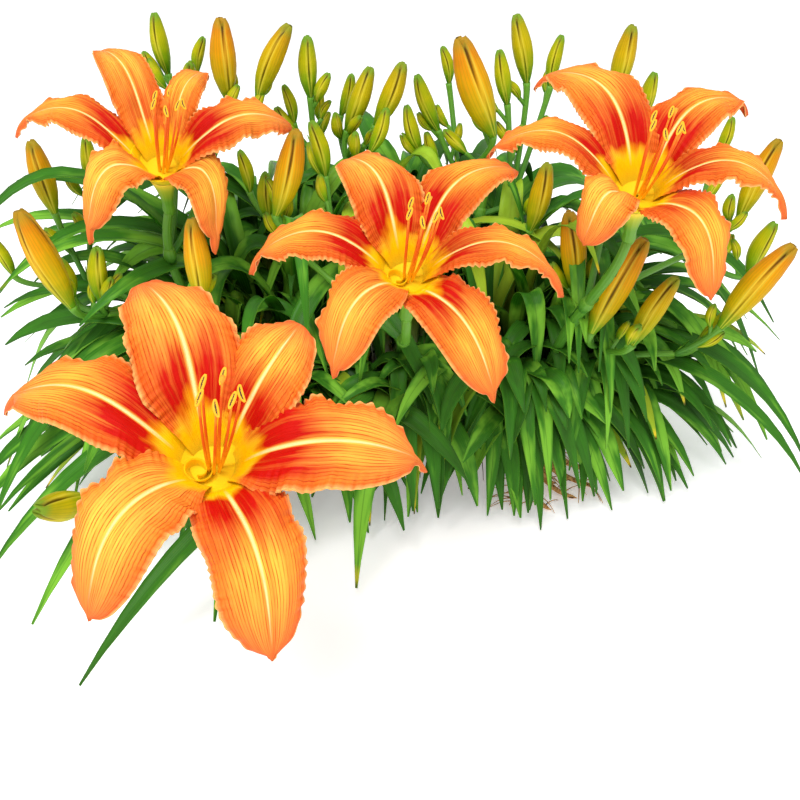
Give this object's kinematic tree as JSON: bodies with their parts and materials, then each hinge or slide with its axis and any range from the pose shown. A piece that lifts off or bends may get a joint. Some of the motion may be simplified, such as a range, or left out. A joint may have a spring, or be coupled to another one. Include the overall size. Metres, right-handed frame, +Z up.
{
  "type": "daylily plant",
  "caption": "Flowering daylily clump lifted with its roots: arching strap leaves, branched stalks with buds, and open orange trumpet flowers",
  "frame": {"origin": "On the surface the plant stands on, under the middle of its outline seen from above", "axes": "+X runs along the width of the clump, +Z points up from the surface, and the front flower leans out to -Y"},
  "size_m": [0.4816, 0.4548, 0.26],
  "materials": {
    "crown": "dark brown fibrous crown tissue",
    "root": "tan fleshy root skin with dark specks of soil",
    "stalk": "smooth green stalk, slightly waxy",
    "petal": "orange petal with pale midrib, red eye and yellow throat",
    "sepal": "orange sepal with pale midrib and red eye",
    "stamen": "orange filaments with dark slit yellow anthers",
    "bud": "green to yellow-orange bud with dark grooves",
    "leaf": "green strap leaf with parallel veins and satin skin"
  },
  "bodies": {
    "root": {"crown": "crown", "roots_back_right": "root", "roots_back_left": "root", "roots_front_left": "root", "roots_front_right": "root", "stalk_1": "stalk", "stalk_2": "stalk", "stalk_3": "stalk", "stalk_4": "stalk", "stalk_5": "stalk", "stalk_6": "stalk", "stalk_7": "stalk", "stalk_8": "stalk", "flower_1_petal_1": "petal", "flower_1_sepal_1": "sepal", "flower_1_petal_2": "petal", "flower_1_sepal_2": "sepal", "flower_1_petal_3": "petal", "flower_1_sepal_3": "sepal", "flower_1_stamens": "stamen", "flower_2_petal_1": "petal", "flower_2_sepal_1": "sepal", "flower_2_petal_2": "petal", "flower_2_sepal_2": "sepal", "flower_2_petal_3": "petal", "flower_2_sepal_3": "sepal", "flower_2_stamens": "stamen", "flower_3_petal_1": "petal", "flower_3_sepal_1": "sepal", "flower_3_petal_2": "petal", "flower_3_sepal_2": "sepal", "flower_3_petal_3": "petal", "flower_3_sepal_3": "sepal", "flower_3_stamens": "stamen", "flower_4_petal_1": "petal", "flower_4_sepal_1": "sepal", "flower_4_petal_2": "petal", "flower_4_sepal_2": "sepal", "flower_4_petal_3": "petal", "flower_4_sepal_3": "sepal", "flower_4_stamens": "stamen", "buds_2": "bud", "buds_3": "bud", "buds_4": "bud", "buds_5": "bud", "buds_6": "bud", "buds_7": "bud", "buds_8": "bud", "leaves_1": "leaf", "leaves_2": "leaf", "leaves_3": "leaf", "leaves_4": "leaf", "leaves_5": "leaf", "leaves_6": "leaf", "leaves_7": "leaf", "leaves_8": "leaf", "leaves_9": "leaf", "leaves_10": "leaf", "leaves_11": "leaf", "leaves_12": "leaf"}
  },
  "joints": []
}
